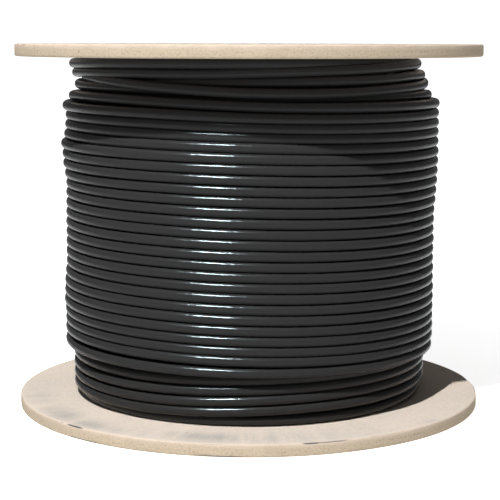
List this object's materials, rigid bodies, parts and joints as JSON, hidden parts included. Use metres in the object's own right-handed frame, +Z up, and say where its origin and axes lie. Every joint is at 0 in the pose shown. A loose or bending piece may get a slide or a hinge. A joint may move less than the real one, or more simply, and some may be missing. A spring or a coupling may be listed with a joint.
{
  "type": "network cable spool",
  "caption": "Round fibreboard reel standing on one flange, wound full with round black network cable in neat turns, with a spindle hole through its axis.",
  "frame": {"origin": "middle of the lower flange's underside, on the floor, on the spool's axis", "axes": "+Z up along the spool's axis; the picture looks along +Y with +X to its right"},
  "size_m": [0.4, 0.4, 0.311],
  "materials": {
    "fibreboard": "bare pressed fibreboard, sawn tan rim, smoother greyish-beige faces with scuffs and dust",
    "wound_paper_tube": "spirally wound brown paperboard, matte",
    "cable_jacket": "smooth black sheath with a soft gloss",
    "zinc_plated_steel": "dull bright zinc plating"
  },
  "bodies": {
    "root": {"lower_flange": "fibreboard", "upper_flange": "fibreboard", "fibre_tube": "wound_paper_tube", "cable_winding": "cable_jacket", "tie_bolt_1": "zinc_plated_steel", "tie_bolt_2": "zinc_plated_steel", "tie_bolt_3": "zinc_plated_steel", "sleeve_nut_1": "zinc_plated_steel", "sleeve_nut_2": "zinc_plated_steel", "sleeve_nut_3": "zinc_plated_steel"}
  },
  "joints": []
}
